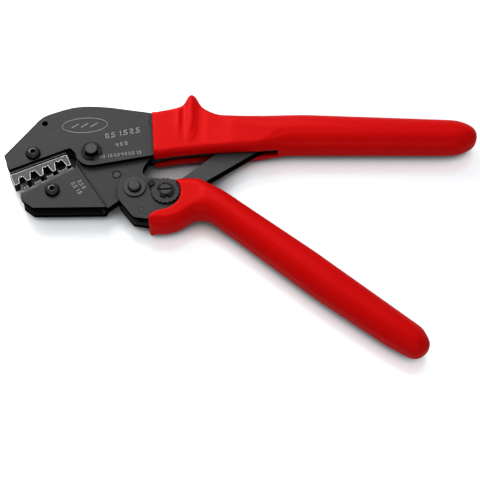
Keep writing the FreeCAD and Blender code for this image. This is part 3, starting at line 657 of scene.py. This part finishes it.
def lower_crisp(x, y):
    in_cut_out = np.hypot(x - WHEEL.x, y - WHEEL.y) < CUT_OUT_RADIUS_MM
    return (x < LOWER_END) | (in_cut_out & (y < CUT_OUT_TOP_Y))


# ---------------------------------------------------------------- markings

# Strokes of plain square digits, in a cell one unit wide and two units high.
STROKES = {
    "top": ((0, 2), (1, 2)),
    "middle": ((0, 1), (1, 1)),
    "bottom": ((0, 0), (1, 0)),
    "upper left": ((0, 1), (0, 2)),
    "upper right": ((1, 1), (1, 2)),
    "lower left": ((0, 0), (0, 1)),
    "lower right": ((1, 0), (1, 1)),
    "point": ((0.4, 0), (0.6, 0)),
}
DIGITS = {
    "0": ("top", "bottom", "upper left", "upper right", "lower left", "lower right"),
    "1": ("upper right", "lower right"),
    "2": ("top", "upper right", "middle", "lower left", "bottom"),
    "4": ("upper left", "upper right", "middle", "lower right"),
    "5": ("top", "upper left", "middle", "lower right", "bottom"),
    "6": ("top", "upper left", "middle", "lower left", "lower right", "bottom"),
    ".": ("point",),
}
# Width of a digit and the pen's travel after a digit and after a point or space, as shares.
DIGIT_WIDTH = 0.5
DIGIT_PITCH = 1.65
POINT_PITCH = 0.9
# Markings stand this far off the steel and are this thick.
MARK_FLOAT_MM = 0.01
MARK_DEPTH_MM = 0.02


def digit_strokes(text, place, height, tilt_degrees):
    """The strokes of a number, as pairs of points in the plane of the plate."""
    width = height * DIGIT_WIDTH
    turn = math.radians(tilt_degrees)
    along = np.array((math.cos(turn), math.sin(turn)))
    upward = np.array((-math.sin(turn), math.cos(turn)))
    strokes = []
    pen = 0.0
    for letter in text:
        for name in DIGITS.get(letter, ()):
            ends = [np.array(place) + along * (pen + x * width) + upward * (y * height / 2)
                    for x, y in STROKES[name]]
            strokes.append(ends)
        pen += width * (POINT_PITCH if letter in ". " else DIGIT_PITCH)
    return strokes


def ring_strokes(centre, half_long, half_short, tilt_degrees, count=48):
    """An ellipse as a closed row of short strokes."""
    turn = math.radians(tilt_degrees)
    points = []
    for k in range(count):
        angle = 2 * math.pi * k / count
        x, y = half_long * math.cos(angle), half_short * math.sin(angle)
        points.append(np.array(centre) + (x * math.cos(turn) - y * math.sin(turn),
                                          x * math.sin(turn) + y * math.cos(turn)))
    return [(points[k], points[(k + 1) % count]) for k in range(count)]


def marking(name, body, strokes, width):
    """Thin bars just above the plate's face, one for each stroke."""
    low = PLATE_FACE + MARK_FLOAT_MM
    points = []
    faces = []
    for start, end in strokes:
        along = (end - start) / np.linalg.norm(end - start) * width / 2
        side = np.array((-along[1], along[0]))
        corners = [start - along - side, end + along - side, end + along + side, start - along + side]
        first = len(points)
        points += [(*corner, low) for corner in corners]
        points += [(*corner, low + MARK_DEPTH_MM) for corner in corners]
        faces.append([first + k for k in (3, 2, 1, 0)])
        faces.append([first + k for k in (4, 5, 6, 7)])
        for k in range(4):
            ahead = (k + 1) % 4
            faces.append([first + k, first + ahead, first + ahead + 4, first + k + 4])
    mesh_piece(name, body, points, faces, MARK)


def on_head(x, y):
    """A place in the plane of the plates, measured from the main pivot."""
    return np.array((MAIN_PIVOT.x + x, MAIN_PIVOT.y + y))


# Rows of figures: text, place from the main pivot, height and tilt in degrees.
SIZE_ROWS = (("0.5 1.5 2.5", (7.4, 8.3), 2.6, 13.0),)
SMALL_ROWS = (
    ("4 6 0", (13.0, 3.0), 1.9, 13.0),
    ("0.5 1.5 2.5 4 6 0.5 1.5", (4.6, -4.1), 1.5, 8.0),
)
NEST_ROWS = (("0.5 1.5", (-9.6, -19.8), 1.8, -55.0), ("2.5 6", (-6.4, -18.6), 1.8, -55.0))


def figures(name, body, rows, width):
    strokes = []
    for text, place, height, tilt_degrees in rows:
        strokes += digit_strokes(text, on_head(*place), height, tilt_degrees)
    marking(name, body, strokes, width)


def markings():
    """An oval emblem with three bars, the nest sizes, and rows of small figures."""
    emblem = ring_strokes(on_head(-4.4, 16.4), 12.0, 4.6, 4.0)
    for shift in (-5.0, 0.0, 5.0):
        rise = shift * 0.07
        emblem.append((on_head(shift - 6.2, 15.2 + rise), on_head(shift - 2.8, 17.6 + rise)))
    marking("frame_emblem", "frame", emblem, 0.32)
    figures("frame_sizes", "frame", SIZE_ROWS, 0.4)
    figures("frame_figures", "frame", SMALL_ROWS, 0.26)
    figures("jaw_figures", "jaw", NEST_ROWS, 0.26)


def shade_ring(name, body, centre, inner, outer, level):
    """A thin dark ring round the end of a rivet, at the given height: painted shade for the shadowed
    groove round the rivet.
    """
    count = 40
    low = level + MARK_FLOAT_MM
    high = level + MARK_FLOAT_MM + MARK_DEPTH_MM
    points = []
    faces = []
    for k in range(count):
        angle = 2 * math.pi * k / count
        for radius, height in ((inner, low), (outer, low), (outer, high), (inner, high)):
            points.append((centre[0] + radius * math.cos(angle),
                           centre[1] + radius * math.sin(angle), height))
        here, ahead = 4 * k, 4 * ((k + 1) % count)
        faces += [(here + a, ahead + a, ahead + (a + 1) % 4, here + (a + 1) % 4) for a in range(4)]
    mesh_piece(name, body, points, faces, CLIP)


JAW_RIVET_SUNK_MM = 0.3
RIVET_RADIUS_MM = (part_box("jaw_rivet")[1].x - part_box("jaw_rivet")[0].x) / 2 / MM


def shade_rings():
    """Painted shade rings round the jaw's rivet, the pawl's pin and the frame's rivet nearest the
    nose.
    """
    jaw_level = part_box("jaw_rivet")[1].z / MM - JAW_RIVET_SUNK_MM
    shade_ring("jaw_rivet_shade_ring", "jaw", centre_mm("jaw_rivet"), 1.85, 2.4, jaw_level)
    shade_ring("pawl_pin_shade_ring", "handle", centre_mm("pawl_pin"), 1.3, 1.6, PLATE_FACE)
    ends = section_mm("frame_rivets", PLATE_FACE - 1.0).reshape(-1, 2)
    foremost = ends[ends[:, 0] < ends[:, 0].min() + 2.5 * RIVET_RADIUS_MM].mean(axis=0)
    shade_ring("frame_rivet_shade_ring", "frame", foremost, 1.6, 2.2, PLATE_FACE)


# ---------------------------------------------------------------- stage

CAMERA_ELEVATION = math.radians(61.0)
CAMERA_DISTANCE = 0.750
CAMERA_LENS_MM = 109.6
CAMERA_SENSOR_MM = 36.0
CAMERA_TARGET = Vector((78.2, -50.6, 0.0)) * MM
FLOOR_HALF = 1.5
SKY_COLOUR = (0.94, 0.97, 1.0, 1.0)
# Strength of the sky for diffuse light and in reflections.
SKY_DIFFUSE = 0.36
SKY_REFLECTED = 0.5
# Name, place, size, power in watts and colour of each light.
LIGHTS = (
    ("key", (-0.35, 0.80, 0.75), (0.9, 0.6), 10.5, (1.0, 0.99, 0.98)),
    ("overhead", (0.0, 0.15, 1.3), (1.0, 1.0), 1.5, (1.0, 1.0, 1.0)),
    ("front_fill", (0.10, -0.95, 0.45), (1.0, 0.6), 1.4, (1.0, 1.0, 1.0)),
)


def camera():
    data = bpy.data.cameras.new("photo_camera")
    data.lens = CAMERA_LENS_MM
    data.sensor_width = CAMERA_SENSOR_MM
    item = bpy.data.objects.new("photo_camera", data)
    bpy.context.scene.collection.objects.link(item)
    back = Vector((0, -math.cos(CAMERA_ELEVATION), math.sin(CAMERA_ELEVATION)))
    item.location = CAMERA_TARGET + back * CAMERA_DISTANCE
    item.rotation_euler = (-back).to_track_quat("-Z", "Y").to_euler()
    bpy.context.scene.camera = item


def area_light(name, place, size, power, colour):
    data = bpy.data.lights.new(name, "AREA")
    data.shape = "RECTANGLE"
    data.size, data.size_y = size
    data.energy = power
    data.color = colour
    item = bpy.data.objects.new(name, data)
    bpy.context.scene.collection.objects.link(item)
    item.location = place
    item.rotation_euler = (CAMERA_TARGET - Vector(place)).to_track_quat("-Z", "Y").to_euler()


def floor():
    level = CAD_BOX[0].z
    corners = [(-1, -1), (1, -1), (1, 1), (-1, 1)]
    points = [(x * FLOOR_HALF, y * FLOOR_HALF, level) for x, y in corners]
    mesh = bpy.data.meshes.new("floor")
    mesh.from_pydata(points, [], [(0, 1, 2, 3)])
    mesh.materials.append(floor_paint())
    item = bpy.data.objects.new("floor", mesh)
    bpy.context.scene.collection.objects.link(item)


def sky():
    world = bpy.data.worlds.new("studio")
    world.use_nodes = True
    tree = world.node_tree
    background = tree.nodes["Background"]
    background.inputs["Color"].default_value = SKY_COLOUR
    strength = tree.nodes.new("ShaderNodeMapRange")
    strength.inputs["To Min"].default_value = SKY_DIFFUSE
    strength.inputs["To Max"].default_value = SKY_REFLECTED
    reflected = tree.nodes.new("ShaderNodeLightPath").outputs["Is Glossy Ray"]
    tree.links.new(reflected, strength.inputs["Value"])
    tree.links.new(strength.outputs[0], background.inputs["Strength"])
    bpy.context.scene.world = world


finish_nodes()
grip_piece("upper_grip", "frame", upper_crisp, upper_rounding, upper_half)
grip_piece("lower_grip", "handle", lower_crisp, lower_rounding, lower_half)
markings()
# Painted shade rings round three rivet ends.
shade_rings()
floor()
for light in LIGHTS:
    area_light(*light)
sky()
camera()
bpy.context.scene.view_settings.view_transform = "Standard"
